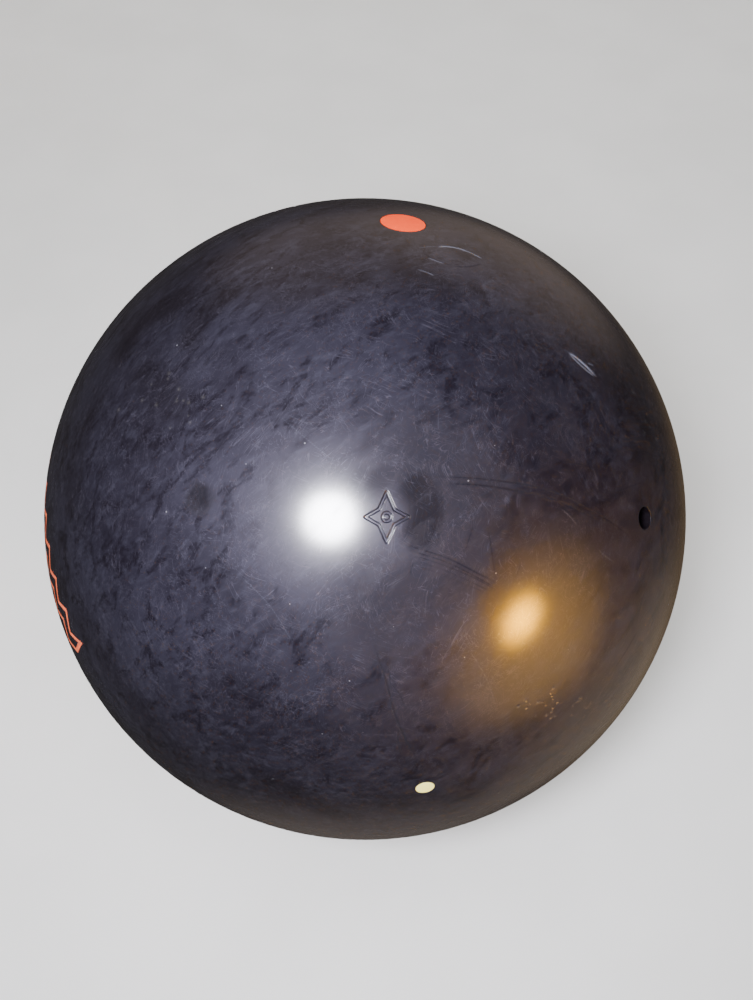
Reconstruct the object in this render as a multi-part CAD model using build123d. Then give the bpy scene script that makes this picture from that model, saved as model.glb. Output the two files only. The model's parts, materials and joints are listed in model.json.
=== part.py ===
from build123d import *
from math import asin, cos, pi, radians, sin, tan
import os

# A drilled bowling ball with an asymmetric core, made of the pieces it is poured and glued from.
#
# Millimetres and degrees. The origin is the ball's centre and +Z is up. The ball lies with its label
# face turned up and towards -Y, and its thumb hole points along +X. A place on the surface is given
# from the label axis: its tilt is the angle away from that axis, and its turn is the angle around
# it, from +X towards the top of the label.

# The ball
BALL_RADIUS = 217.0 / 2
COVER_THICKNESS = 20.0
LABEL_ELEVATION = 60.0  # how far the label axis points above the horizon

# Pins
LOCATING_PIN_AT = (49.1, 82.7)  # tilt and turn
LOCATING_PIN_RADIUS = 12.7 / 2
MASS_BIAS_PIN_AT = (41.4, -77.4)
MASS_BIAS_PIN_RADIUS = 5.2 / 2
MASS_BIAS_PIN_DEPTH = 12.0

# Weight block: turned about the locating pin's axis, with heights along it from the ball's centre
BLOCK_TOP = 67.0
BLOCK_TOP_RADIUS = 14.0
BLOCK_NECK_HEIGHT = 42.0
BLOCK_NECK_RADIUS = 24.0
BLOCK_SHOULDER_HEIGHT = 18.0
BLOCK_RADIUS = 45.0
BLOCK_SKIRT_HEIGHT = -17.0
BLOCK_BOTTOM = -42.0
BLOCK_BOTTOM_RADIUS = 26.0

# Flip block: a dense arc-shaped puck let into the side of the weight block
FLIP_INNER_RADIUS = 34.0
FLIP_OUTER_RADIUS = 58.0
FLIP_BOTTOM = -13.0
FLIP_HEIGHT = 28.0
FLIP_ARC = 96.0
FLIP_EDGE_RADIUS = 4.0

# Thumb hole: a sleeve with a blind bore, aimed at the ball's centre
THUMB_SLUG_RADIUS = 31.75 / 2
THUMB_SLUG_LENGTH = 76.2
THUMB_BORE_RADIUS = 25.4 / 2
THUMB_BORE_DEPTH = 70.0
THUMB_BEVEL = 2.2

# Finger holes: two open sleeves side by side, whose axes lean apart by the lateral pitch
SPAN = 105.0  # along the surface, from the edge of the thumb bore to the edge of a finger bore
SPAN_TURN = 15.0  # turns the fingers round the thumb hole, away from the label
BRIDGE = 7.94  # between the edges of the two drilled finger holes
LATERAL_PITCH = 6.35
FINGER_INSERT_RADIUS = 24.6 / 2
FINGER_INSERT_LENGTH = 31.75
FINGER_BORE_RADIUS = 20.2 / 2
FINGER_BEVEL = 1.4
MIDDLE, RING = 1, -1  # which side of the finger pair's middle a finger hole is on

# Vent hole: from the cover into the thumb bore, just above its floor
VENT_AT = (42.7, 0.2)
VENT_RADIUS = 6.0 / 2
VENT_ABOVE_FLOOR = 4.0

# Engraved mark: the outline of a four-pointed star around a ring, left unpainted
MARK_AT = (2.6, 5.2)
MARK_DEPTH = 0.5
MARK_STROKE = 0.65
MARK_STAR_WIDTH = 9.7  # between the tips of the line's middle, which its width makes sharper and longer
MARK_STAR_HEIGHT = 11.3
MARK_STAR_WAIST = 1.75
MARK_RING_RADIUS = 0.95

# Inlay: the painted outline of a zigzag band
INLAY_AT = (63.0, 186.7)
INLAY_LEAN = 293.3
INLAY_DEPTH = 0.5
INLAY_STROKE = 1.5
INLAY_LENGTH = 60.0
INLAY_WIDTH = 8.5
INLAY_TEETH = 6
INLAY_TOOTH_HEIGHT = 6.4

CENTRE = Vector(0, 0, 0)
THUMB_AXIS = Vector(1, 0, 0)
LABEL_AXIS = Vector(0, -cos(radians(LABEL_ELEVATION)), sin(radians(LABEL_ELEVATION)))
LABEL_TOP = Vector(0, sin(radians(LABEL_ELEVATION)), cos(radians(LABEL_ELEVATION)))
FILLER_RADIUS = BALL_RADIUS - COVER_THICKNESS

# The spheres' poles lie on the horizon between the grip and the inlay, and their seam runs underneath
POLE_AZIMUTH = radians(130.0)
SEAM_PLANE = Plane(origin=CENTRE, x_dir=(0, 0, -1), z_dir=(cos(POLE_AZIMUTH), sin(POLE_AZIMUTH), 0))


def direction(tilt, turn):
    """The unit vector from the centre to a place on the ball."""
    around = THUMB_AXIS * cos(radians(turn)) + LABEL_TOP * sin(radians(turn))
    return LABEL_AXIS * cos(radians(tilt)) + around * sin(radians(tilt))


def facing(out, top):
    """A plane through the centre whose normal is out and whose +Y is as near to top as it can be."""
    return Plane(origin=CENTRE, x_dir=top.cross(out), z_dir=out)


def rod(radius, out, start, end, through=CENTRE):
    """A cylinder along out, between two distances from the point through."""
    base = Plane(origin=through + out * start, z_dir=out)
    return base * Cylinder(radius, end - start, align=(Align.CENTER, Align.CENTER, Align.MIN))


def ball(radius=BALL_RADIUS):
    """A sphere whose poles and seam lie where nothing is drilled or engraved."""
    return SEAM_PLANE * Sphere(radius)


def in_skin(outline, at, depth):
    """An outline drawn on the ball's surface, as deep as depth and flush outside."""
    plane = facing(direction(*at), LABEL_TOP)
    prism = extrude(plane * outline, BALL_RADIUS + depth, dir=plane.z_dir)
    return prism & (ball() - ball(BALL_RADIUS - depth))


# Core

BLOCK_PLANE = Plane(
    origin=CENTRE,
    x_dir=direction(*MASS_BIAS_PIN_AT),
    z_dir=direction(*LOCATING_PIN_AT),
)


def weight_block_blank():
    """A light-bulb shape, before anything is cut from it."""
    top_edge = (BLOCK_TOP_RADIUS, BLOCK_TOP)
    neck = (BLOCK_NECK_RADIUS, BLOCK_NECK_HEIGHT)
    shoulder = (BLOCK_RADIUS, BLOCK_SHOULDER_HEIGHT)
    skirt = (BLOCK_RADIUS, BLOCK_SKIRT_HEIGHT)
    bottom_edge = (BLOCK_BOTTOM_RADIUS, BLOCK_BOTTOM)
    outline = Polyline((BLOCK_BOTTOM_RADIUS, BLOCK_BOTTOM), (0, BLOCK_BOTTOM), (0, BLOCK_TOP), top_edge)
    outline += Line(top_edge, neck)
    outline += RadiusArc(neck, shoulder, BLOCK_RADIUS)
    outline += Line(shoulder, skirt)
    outline += RadiusArc(skirt, bottom_edge, BLOCK_RADIUS)
    return revolve(Plane.XZ * make_face(outline), Axis.Z)


def flip_block_blank():
    """The puck, centred on the block's +X."""
    reach = 2 * FLIP_OUTER_RADIUS
    spread = reach * tan(radians(FLIP_ARC / 2))
    wedge = make_face(Polyline((0, 0), (reach, -spread), (reach, spread), close=True))
    section = (Circle(FLIP_OUTER_RADIUS) - Circle(FLIP_INNER_RADIUS)) & wedge
    puck = Pos(0, 0, FLIP_BOTTOM) * extrude(section, FLIP_HEIGHT)
    return fillet(puck.edges().filter_by(GeomType.CIRCLE), FLIP_EDGE_RADIUS)


# Grip


def finger_hole(side):
    """The middle of a finger hole's mouth and its outward axis."""
    turn = radians(SPAN_TURN)
    angle = (SPAN + THUMB_BORE_RADIUS + FINGER_BORE_RADIUS) / BALL_RADIUS
    away = LABEL_TOP * cos(turn) - LABEL_AXIS * sin(turn)
    pair = THUMB_AXIS * cos(angle) + away * sin(angle)
    sideways = away.cross(THUMB_AXIS) * side
    half = asin((FINGER_INSERT_RADIUS + BRIDGE / 2) / BALL_RADIUS)
    mouth = (pair * cos(half) + sideways * sin(half)) * BALL_RADIUS
    return mouth, (mouth - sideways * LATERAL_PITCH).normalized()


def finger_rod(side, radius):
    """A cylinder from the foot of a finger hole to well outside the ball."""
    mouth, out = finger_hole(side)
    return rod(radius, out, -FINGER_INSERT_LENGTH, FINGER_INSERT_LENGTH, through=mouth)


def bevelled(sleeve, bore_radius, mouth, bevel):
    """A sleeve whose inner edge at the mouth is rounded."""
    around = 2 * pi * bore_radius
    rims = [edge for edge in sleeve.edges() if abs(edge.length - around) < around / 50]
    rim = min(rims, key=lambda edge: (edge.center() - mouth).length)
    return fillet(rim, bevel)


def thumb_rod(radius, depth):
    return rod(radius, THUMB_AXIS, BALL_RADIUS - depth, BALL_RADIUS + depth)


def vent():
    """The drilling of the vent hole, which ends on the thumb bore's axis."""
    end = THUMB_AXIS * (BALL_RADIUS - THUMB_BORE_DEPTH + VENT_ABOVE_FLOOR)
    mouth = direction(*VENT_AT) * BALL_RADIUS
    length = (mouth - end).length
    return rod(VENT_RADIUS, (mouth - end).normalized(), 0, length + VENT_RADIUS * 4, through=end)


# Ornament


def mark_outline():
    """A star with a tip above, below and to each side, whose sides meet at the waist, and a ring."""
    right, top, waist = MARK_STAR_WIDTH / 2, MARK_STAR_HEIGHT / 2, MARK_STAR_WAIST
    tips = [(right, 0), (0, top), (-right, 0), (0, -top)]
    waists = [(waist, waist), (-waist, waist), (-waist, -waist), (waist, -waist)]
    points = [point for pair in zip(tips, waists) for point in pair]
    star = trace(Polyline(*points, close=True), line_width=MARK_STROKE)
    ring = Circle(MARK_RING_RADIUS + MARK_STROKE / 2) - Circle(MARK_RING_RADIUS - MARK_STROKE / 2)
    return star + ring


def inlay_outline():
    """The outline of a band that zigzags along its length and is cut square at its ends."""
    step = INLAY_LENGTH / (2 * INLAY_TEETH)
    points = []
    for side in (1, -1):
        edge = []
        for i in range(2 * INLAY_TEETH + 1):
            tooth = INLAY_TOOTH_HEIGHT / 2 * (-1) ** i
            edge.append((-INLAY_LENGTH / 2 + i * step, side * INLAY_WIDTH / 2 + tooth))
        points += edge[::side]
    return Rot(0, 0, INLAY_LEAN) * trace(Polyline(*points, close=True), line_width=INLAY_STROKE)


# Drillings, each cut through every piece it meets

locating_pin_drilling = rod(LOCATING_PIN_RADIUS, direction(*LOCATING_PIN_AT), BLOCK_TOP, BALL_RADIUS + 1)
mass_bias_pin_drilling = rod(
    MASS_BIAS_PIN_RADIUS,
    direction(*MASS_BIAS_PIN_AT),
    BALL_RADIUS - MASS_BIAS_PIN_DEPTH,
    BALL_RADIUS + 1,
)
grip_drillings = [
    thumb_rod(THUMB_SLUG_RADIUS, THUMB_SLUG_LENGTH),
    finger_rod(MIDDLE, FINGER_INSERT_RADIUS),
    finger_rod(RING, FINGER_INSERT_RADIUS),
]
vent_drilling = vent()

# Pieces

pieces = {}

engraving = in_skin(mark_outline(), MARK_AT, MARK_DEPTH)
pieces["zigzag_inlay"] = in_skin(inlay_outline(), INLAY_AT, INLAY_DEPTH)
pieces["locating_pin"] = locating_pin_drilling & ball()
pieces["mass_bias_pin"] = mass_bias_pin_drilling & ball()

cover = ball() - ball(FILLER_RADIUS) - locating_pin_drilling - mass_bias_pin_drilling
for drilling in grip_drillings + [vent_drilling, engraving, pieces["zigzag_inlay"]]:
    cover -= drilling
pieces["coverstock"] = cover

flip = BLOCK_PLANE * flip_block_blank()
block = BLOCK_PLANE * weight_block_blank()
filler = ball(FILLER_RADIUS) - block - flip - locating_pin_drilling
block -= flip
for drilling in grip_drillings + [vent_drilling]:
    filler -= drilling
    block -= drilling
    flip -= drilling
pieces["filler_core"] = filler
pieces["weight_block"] = block
pieces["flip_block"] = flip

slug = thumb_rod(THUMB_SLUG_RADIUS, THUMB_SLUG_LENGTH) & ball()
slug -= thumb_rod(THUMB_BORE_RADIUS, THUMB_BORE_DEPTH)
slug = bevelled(slug, THUMB_BORE_RADIUS, THUMB_AXIS * BALL_RADIUS, THUMB_BEVEL)
pieces["thumb_slug"] = slug - vent_drilling

for name, side in (("middle_finger_insert", MIDDLE), ("ring_finger_insert", RING)):
    sleeve = (finger_rod(side, FINGER_INSERT_RADIUS) & ball()) - finger_rod(side, FINGER_BORE_RADIUS)
    pieces[name] = bevelled(sleeve, FINGER_BORE_RADIUS, finger_hole(side)[0], FINGER_BEVEL)

os.makedirs("parts", exist_ok=True)
for name, piece in pieces.items():
    piece.label = name
    export_step(piece, f"parts/{name}.step")
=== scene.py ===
import json
from math import cos, pi, radians, sin, sqrt

import bpy
import numpy as np
from mathutils import Matrix, Vector, kdtree
from mathutils.geometry import delaunay_2d_cdt


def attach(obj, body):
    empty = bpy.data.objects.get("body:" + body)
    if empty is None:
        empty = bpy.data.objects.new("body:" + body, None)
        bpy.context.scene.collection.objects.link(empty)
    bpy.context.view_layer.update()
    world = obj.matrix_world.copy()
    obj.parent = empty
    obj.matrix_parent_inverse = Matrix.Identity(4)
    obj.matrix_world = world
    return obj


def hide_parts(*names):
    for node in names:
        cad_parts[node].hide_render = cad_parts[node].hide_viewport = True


# Looks of a drilled bowling ball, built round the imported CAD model.
#
# Points are worked out in millimetres and written to the meshes in metres. A place on the ball is
# either (right, up), millimetres on the flat face of the label as the camera sees it, or
# (tilt, turn), the angle away from the label axis and the angle around it, both in degrees.

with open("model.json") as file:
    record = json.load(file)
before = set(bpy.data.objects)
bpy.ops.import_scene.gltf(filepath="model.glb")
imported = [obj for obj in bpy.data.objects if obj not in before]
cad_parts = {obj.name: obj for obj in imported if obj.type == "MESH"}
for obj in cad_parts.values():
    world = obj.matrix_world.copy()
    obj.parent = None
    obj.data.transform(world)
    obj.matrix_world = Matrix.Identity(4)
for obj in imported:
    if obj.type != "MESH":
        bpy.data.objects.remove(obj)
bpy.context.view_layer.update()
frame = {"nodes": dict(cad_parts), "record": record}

MM = 0.001
ROOT = "root"  # the one body

# The label's axes
LABEL_ELEVATION = radians(60)
RIGHT = np.array([1.0, 0.0, 0.0])
TOP = np.array([0.0, sin(LABEL_ELEVATION), cos(LABEL_ELEVATION)])
LABEL = np.array([0.0, -cos(LABEL_ELEVATION), sin(LABEL_ELEVATION)])


def add_object(name, data):
    """A new object in the scene."""
    made = bpy.data.objects.new(name, data)
    bpy.context.scene.collection.objects.link(made)
    return made


def node_points(name):
    """A CAD node's vertices, in millimetres."""
    vertices = frame["nodes"][name].data.vertices
    points = np.empty(len(vertices) * 3)
    vertices.foreach_get("co", points)
    return points.reshape(-1, 3) / MM


def lengths(vectors):
    """The length of each row."""
    return np.linalg.norm(vectors, axis=1)


def unit(vectors):
    """The vectors at length 1."""
    return vectors / np.linalg.norm(vectors, axis=-1, keepdims=True)


def direction(tilt, turn):
    """The unit vector from the centre to a place given by its angles."""
    around = RIGHT * cos(radians(turn)) + TOP * sin(radians(turn))
    return LABEL * cos(radians(tilt)) + around * sin(radians(tilt))


def from_axis(points, axis):
    """How far points are from a line through the centre."""
    return lengths(points - np.outer(points @ axis, axis))


# Sizes the frame gives
cover_distances = lengths(node_points("coverstock"))
BALL_RADIUS = cover_distances.max()
FILLER_RADIUS = cover_distances.min()
MOUNTS = {mount["name"]: mount for mount in frame["record"]["mounts"]}

LOCATING_PIN_AXIS = direction(49.1, 82.7)
MASS_BIAS_PIN_AXIS = direction(41.4, -77.4)
LOCATING_PIN_RADIUS = from_axis(node_points("locating_pin"), LOCATING_PIN_AXIS).max()
LOCATING_PIN_FOOT = lengths(node_points("locating_pin")).min()
MASS_BIAS_PIN_RADIUS = from_axis(node_points("mass_bias_pin"), MASS_BIAS_PIN_AXIS).max()
MASS_BIAS_PIN_FOOT = lengths(node_points("mass_bias_pin")).min()
THUMB_AXIS = np.array(MOUNTS["thumb_hole"]["axis"])
THUMB_BORE_RADIUS = MOUNTS["thumb_hole"]["dims"]["r_mm"]
THUMB_SLUG_RADIUS = from_axis(node_points("thumb_slug"), THUMB_AXIS).max()
THUMB_SLUG_FOOT = (node_points("thumb_slug") @ THUMB_AXIS).min()

# Sizes the frame doesn't give in one number
THUMB_BORE_FLOOR = BALL_RADIUS - 70.0
THUMB_BEVEL = 2.2
THUMB_FLOOR_ROUND = 1.5
VENT_ABOVE_FLOOR = 4.0
FINGER_INSERT_RADIUS = 12.3
FINGER_INSERT_LENGTH = 31.75
FINGER_BEVEL = 1.4
MARK_AT = (2.6, 5.2)
MARK_DEPTH = 0.5
MARK_STROKE = 0.65
MARK_STAR_WIDTH = 9.7
MARK_STAR_HEIGHT = 11.3
MARK_STAR_WAIST = 1.75
MARK_RING_RADIUS = 0.95
INLAY_AT = (63.0, 186.7)
INLAY_LEAN = radians(293.3)
INLAY_DEPTH = 0.5
INLAY_STROKE = 1.5
INLAY_LENGTH = 60.0
INLAY_WIDTH = 8.5
INLAY_TEETH = 6
INLAY_TOOTH_HEIGHT = 6.4

# Mesh detail
COVER_SPACING = 2.2
INNER_SPACING = 8.0
MARK_SPACING = 0.13
WEAR_SPACING = 0.28
PIT_SPACING = 0.2
GROWTH = 0.3  # how much the spacing grows for each millimetre from a detail
RIM_SPACING = 0.45
RIM_ANGLES = np.radians([0.0, 22.5, 45.0, 67.5, 90.0])
WALL_STEPS = 8
VENT_SIDES = 48


# ---------------------------------------------------------------- places and lines


def on_label(places):
    """Points on the ball above (right, up) places on the label's flat face."""
    flat = np.array(places, float).reshape(-1, 2)
    height = np.sqrt(BALL_RADIUS**2 - (flat**2).sum(1))
    return flat[:, :1] * RIGHT + flat[:, 1:] * TOP + height[:, None] * LABEL


def facing(out):
    """The right, up and outward axes of the plane that faces out, its up as near the label's as can be."""
    across = unit(np.cross(TOP, out))
    return across, np.cross(out, across), out


def on_plane(axes, flat, radius=BALL_RADIUS):
    """Points on a sphere above (x, y) places on the plane with those axes."""
    across, up, out = axes
    height = np.sqrt(radius**2 - (flat**2).sum(1))
    return flat[:, :1] * across + flat[:, 1:] * up + height[:, None] * out


def smooth_line(places, step=1.5):
    """A smooth line on the ball through (right, up) places, divided into short steps."""
    knots = np.array(places, float)
    if len(knots) == 1:
        return on_label(knots)
    padded = np.vstack([2 * knots[0] - knots[1], knots, 2 * knots[-1] - knots[-2]])
    line = []
    for a, b, c, d in zip(padded, padded[1:], padded[2:], padded[3:]):
        count = max(2, int(np.linalg.norm(c - b) / step))
        t = np.linspace(0, 1, count, endpoint=False)[:, None]
        line.append(b + 0.5 * t * (c - a + t * (2 * a - 5 * b + 4 * c - d + t * (3 * b - a - 3 * c + d))))
    line.append(knots[-1:])
    return on_label(np.vstack(line))


def distance_to_line(points, line, reach):
    """How far points are from a line and how far along it, from 0 to 1. Past reach both are rough."""
    distance = np.full(len(points), np.inf)
    along = np.zeros(len(points))
    middle = line.mean(0)
    extent = lengths(line - middle).max() + reach
    near = np.flatnonzero(((points - middle) ** 2).sum(1) < extent**2)
    if len(line) == 1:
        distance[near] = lengths(points[near] - line[0])
        return distance, along
    for i, (start, end) in enumerate(zip(line, line[1:])):
        run = end - start
        t = np.clip((points[near] - start) @ run / (run @ run), 0, 1)
        d = lengths(points[near] - start - t[:, None] * run)
        closer = d < distance[near]
        distance[near[closer]] = d[closer]
        along[near[closer]] = (i + t[closer]) / (len(line) - 1)
    return distance, along


def smoothstep(x):
    """The smooth step from 0 to 1."""
    x = np.clip(x, 0, 1)
    return x * x * (3 - 2 * x)


# ---------------------------------------------------------------- wear and painted shade on the cover

# Where the upright streaks of the rubbed patch lie
STREAKS = (9.6, 10.8, 11.7, 12.9, 13.8, 15.1, 15.9, 17.0)

# Each line of wear: its places, its half width and its depth, in millimetres, and its strength
DARK_LINES = [
    # The two dark arcs that leave the mark's right side
    ([(11, 10), (17, 9.6), (26, 9.3), (39, 7.8), (48, 5.4), (55, 2.2), (63, -1.5), (70, -6)],
     0.3, 0.02, 0.95),
    ([(14, 8), (26, 7.8), (39, 6), (48, 3.7), (55, 0.9), (61, -2)], 0.38, 0.02, 1.0),
    # The bundle of swipes below the mark's right side
    ([(7, -5.2), (13, -7), (19, -9), (25, -12), (33, -16)], 0.34, 0.02, 1.0),
    ([(7.5, -6.4), (13, -8), (19, -10), (25, -13), (32, -16.8)], 0.27, 0.02, 1.0),
    ([(9, -7.8), (14, -9.2), (20, -11.3), (26, -14), (32, -17.4)], 0.24, 0.01, 0.95),
    ([(10, -9.2), (14, -10.3), (19, -12), (25, -14.8), (30.5, -17.4)], 0.2, 0.01, 0.85),
    ([(11, -10.6), (14, -11.4), (18, -12.9), (25, -15.8), (30, -18)], 0.18, 0.01, 0.75),
    # The rubbed patch between them
    *[
        ([(x, 7.6), (x + 0.5, 3.5), (x + 0.3, -1), (x - 0.6, -4.6)], 0.26, 0.0, 0.85)
        for x in STREAKS
    ],
    # Short single strokes
    ([(25, -1), (24, -4), (22.8, -8)], 0.3, 0.02, 0.9),
    ([(28, -0.5), (28.7, -4), (29.5, -9), (30.2, -14)], 0.25, 0.02, 0.95),
    ([(11, -9.5), (10.6, -11), (10.1, -13)], 0.32, 0.02, 0.8),
    ([(15.2, -14), (15, -17), (14.6, -19)], 0.2, 0.01, 0.5),
    ([(36.5, -10), (36, -12), (35, -14)], 0.18, 0.01, 0.5),
    ([(61, 6), (67, 8), (74, 10)], 0.2, 0.01, 0.4),
    ([(74, -30), (70, -36), (67, -40)], 0.3, 0.01, 0.55),
    ([(58, 12), (52, 13.5), (46, 14)], 0.14, 0.01, 0.35),
    ([(14.6, 7.8), (15.8, 5), (16, 1), (15.2, -3)], 0.3, 0.01, 0.6),
    # The long streak down to the mass-bias pin and its branches
    ([(2, -27), (3, -32), (5, -38), (6.4, -44), (8.3, -50), (11, -56), (14, -62)], 0.34, 0.03, 0.8),
    ([(4.6, -30), (5.4, -35), (6.4, -41)], 0.2, 0.01, 0.5),
    ([(5, -38), (8, -41), (9.5, -45)], 0.18, 0.01, 0.45),
    ([(8.3, -50), (8, -54), (9, -59)], 0.24, 0.01, 0.5),
    ([(14, -62), (15.5, -64.5)], 0.4, 0.02, 0.6),
    # Streaks low on the left
    ([(-31, -68), (-25, -72), (-18, -75), (-11, -79)], 0.7, 0.02, 0.9),
    ([(-27, -71), (-21, -74.5), (-15, -77)], 0.5, 0.02, 0.9),
    ([(-24, -68.5), (-17, -72.5), (-12, -75)], 0.35, 0.01, 0.7),
    # Short level streaks near the vent
    ([(66, 24), (74, 25.5), (83, 26)], 0.4, 0.01, 0.75),
    ([(65, 20.5), (72, 21), (79, 20)], 0.35, 0.01, 0.7),
    ([(67, 17.5), (74, 18), (82, 17)], 0.3, 0.01, 0.7),
    ([(70, 29), (76, 30), (80, 29.5)], 0.25, 0.01, 0.6),
    # A cluster of nicks above the vent's side
    ([(42, 44.5), (44.5, 43.5), (47, 43)], 0.5, 0.05, 1.0),
    ([(42.5, 42.5), (45.5, 41.5)], 0.45, 0.05, 1.0),
    # Strokes high on the left
    ([(-45, 57.5), (-40, 59), (-34, 60.5)], 0.45, 0.01, 0.8),
    ([(-40, 54.5), (-35, 56)], 0.3, 0.01, 0.6),
    # The almond-shaped scuff under the locating pin
    ([(23, 65), (27, 65.4), (31, 67.2)], 0.24, 0.02, 0.6),
    ([(14.2, 69.5), (17, 67.4), (20, 66), (23, 65)], 0.2, 0.01, 0.4),
    # The chip on the right: a narrow leaf with a bright edge
    ([(54.4, 41), (56.4, 39.6), (58.4, 38)], 0.4, 0.12, 0.9),
]
LIGHT_LINES = [
    # The almond-shaped scuff under the locating pin
    ([(19, 71.6), (21.5, 72.2), (25, 71.9), (28.2, 70.8)], 0.26, 0.06, 1.0),
    ([(26, 71.6), (28.5, 70.6), (31.2, 69)], 0.2, 0.05, 0.9),
    ([(14, 70.6), (16.5, 71.5), (19, 71.8)], 0.12, 0.02, 0.35),
    ([(16, 67.5), (18.5, 66.4), (20.5, 65.6)], 0.16, 0.03, 0.55),
    ([(13.2, 63.2), (15.5, 62.4), (17.6, 61.4)], 0.15, 0.03, 0.5),
    # The chip on the right: a narrow leaf with a bright edge
    ([(51.8, 42.6), (54, 41.6), (57, 39.5), (60.2, 36.6)], 0.3, 0.08, 1.0),
    ([(51.8, 42.6), (54.2, 40.4), (57, 38.2), (59.6, 36.8)], 0.22, 0.06, 0.8),
    ([(57.6, 40.4), (59.6, 40)], 0.16, 0.03, 0.6),
    # Single bright scratches
    ([(47, 2.5), (49.5, 0.4), (51.4, -1.6)], 0.1, 0.02, 0.2),
    ([(57, -7), (60, -9.4), (63, -11)], 0.1, 0.02, 0.15),
    ([(-62, -44), (-57, -52), (-50, -60)], 0.08, 0.006, 0.12),
    ([(24, -30), (29, -38), (33, -48)], 0.08, 0.005, 0.1),
    ([(-20, 24), (-13, 18), (-7, 13)], 0.08, 0.006, 0.12),
    ([(-30, -12), (-22, -20), (-16, -30)], 0.08, 0.006, 0.12),
]

# Each patch that has lost its polish, and each smudge or band of painted shade: its places, its half width
# in millimetres, its strength, and how hard its edge is, from 0 to 1
DULL_PATCHES = [
    ([(-39, 5)], 3.6, 0.95, 0.8),
    ([(12, 7), (14, 4), (14.2, 0), (13.2, -3)], 5.0, 1.0, 0.1),
    ([(2, 9), (9, 10.5)], 3.8, 0.6, 0.0),
    ([(13, 12), (22, 6), (24, -4), (16, -14), (4, -20)], 11.0, 0.62, 0.0),
]
SMUDGES_AND_SHADE = [
    ([(67, -13)], 2.6, 0.6, 0.7),
    # A broad band of painted shade, which darkens the right and lower side where less light falls
    ([(38, 28), (46, 0), (30, -26), (0, -42)], 21.0, 0.5, 0.0),
    ([(-66, 46), (-63, 52), (-57, 56), (-50, 58)], 5.5, 0.9, 0.1),
    ([(-44, 46), (-42, 52), (-36, 58)], 4.0, 0.75, 0.1),
    ([(-72, 34), (-78, 18), (-80, 4)], 5.0, 0.55, 0.0),
    ([(-58, 38), (-52, 34), (-46, 28)], 4.5, 0.5, 0.0),
    ([(-9, 62), (-2, 60)], 4.0, 0.5, 0.1),
    ([(12, 61), (20, 59)], 4.5, 0.35, 0.1),
    ([(44, 44)], 3.5, 0.6, 0.2),
    ([(62, 40), (70, 32), (74, 26)], 8.0, 0.6, 0.0),
    ([(36, 4), (44, -2), (50, -6)], 6.0, 0.45, 0.0),
    ([(74, 22), (76, 12), (74, 2)], 7.0, 0.4, 0.0),
    ([(-24, -70), (-15, -76), (-8, -80)], 4.5, 0.85, 0.2),
    ([(-76, -30), (-70, -40), (-62, -50)], 6.0, 0.55, 0.0),
    ([(6, -46), (10, -58), (14, -64)], 3.0, 0.45, 0.1),
    ([(-34, -40), (-22, -44)], 7.0, 0.35, 0.0),
    ([(76, -16), (72, -30)], 4.0, 0.4, 0.1),
    ([(-2, -76), (12, -78), (26, -74)], 6.0, 0.45, 0.0),
]

# Bands of small pits: two places, the band's half width, how many pits and the seed of their places
PIT_BANDS = [
    ([(39, -47), (78, -52)], 4.0, 46, 11),
    ([(58, -58), (70, -60)], 5.0, 14, 12),
    ([(72, 30), (80, 22)], 6.0, 10, 13),
    ([(-62, 34), (-40, 26)], 9.0, 16, 14),
]
PIT_RADIUS = (0.22, 0.5)
PIT_DEPTH = 0.1


def pit_places():
    """The middle and the radius of every pit."""
    middles, radii = [], []
    for (start, end), width, count, seed in PIT_BANDS:
        rng = np.random.default_rng(seed)
        start, end = np.array(start, float), np.array(end, float)
        flat = start + rng.random((count, 1)) * (end - start) + rng.normal(0, width / 2, (count, 2))
        middles.append(on_label(flat))
        radii.append(rng.uniform(*PIT_RADIUS, count))
    return np.vstack(middles), np.concatenate(radii)


def smoothed(**tables):
    """The tables' rows in one list, each with its kind first and its places as a smooth line."""
    return [(kind, smooth_line(places), *sizes) for kind, rows in tables.items() for places, *sizes in rows]


PITS, PIT_RADII = pit_places()
wear_lines = smoothed(dark=DARK_LINES, light=LIGHT_LINES)
smudges_and_shade = smoothed(dull=DULL_PATCHES, smudge=SMUDGES_AND_SHADE)


# ---------------------------------------------------------------- the mark and the inlay's outline

MARK_AXES = facing(direction(*MARK_AT))
INLAY_AXES = facing(direction(*INLAY_AT))


def mark_star():
    """The closed line of the four-pointed star, on the mark's plane."""
    right, top, waist = MARK_STAR_WIDTH / 2, MARK_STAR_HEIGHT / 2, MARK_STAR_WAIST
    tips = [(right, 0), (0, top), (-right, 0), (0, -top)]
    waists = [(waist, waist), (-waist, waist), (-waist, -waist), (waist, -waist)]
    points = [point for pair in zip(tips, waists) for point in pair]
    return np.array(points + points[:1], float)


MARK_STAR = mark_star()
MARK_EXTENT = MARK_STAR_HEIGHT / 2 + MARK_STROKE * 2
MARK_WALL = 0.17  # half the width of a groove's sloped wall


def mark_distance(points):
    """How far points are from the middle of the mark's strokes."""
    across, up, out = MARK_AXES
    flat = np.stack([points @ across, points @ up], 1)
    distance = np.abs(lengths(flat) - MARK_RING_RADIUS)
    for start, end in zip(MARK_STAR, MARK_STAR[1:]):
        run = end - start
        t = np.clip((flat - start) @ run / (run @ run), 0, 1)
        distance = np.minimum(distance, lengths(flat - start - t[:, None] * run))
    return np.where(points @ out > 0, distance, np.inf)


def inlay_corners():
    """The closed line of the zigzag band, on the inlay's plane."""
    step = INLAY_LENGTH / (2 * INLAY_TEETH)
    points = []
    for side in (1, -1):
        edge = []
        for i in range(2 * INLAY_TEETH + 1):
            tooth = INLAY_TOOTH_HEIGHT / 2 * (-1) ** i
            edge.append((-INLAY_LENGTH / 2 + i * step, side * INLAY_WIDTH / 2 + tooth))
        points += edge[::side]
    turn = np.array([[cos(INLAY_LEAN), sin(INLAY_LEAN)], [-sin(INLAY_LEAN), cos(INLAY_LEAN)]])
    return np.array(points, float) @ turn


INLAY_CORNERS = inlay_corners()


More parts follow.
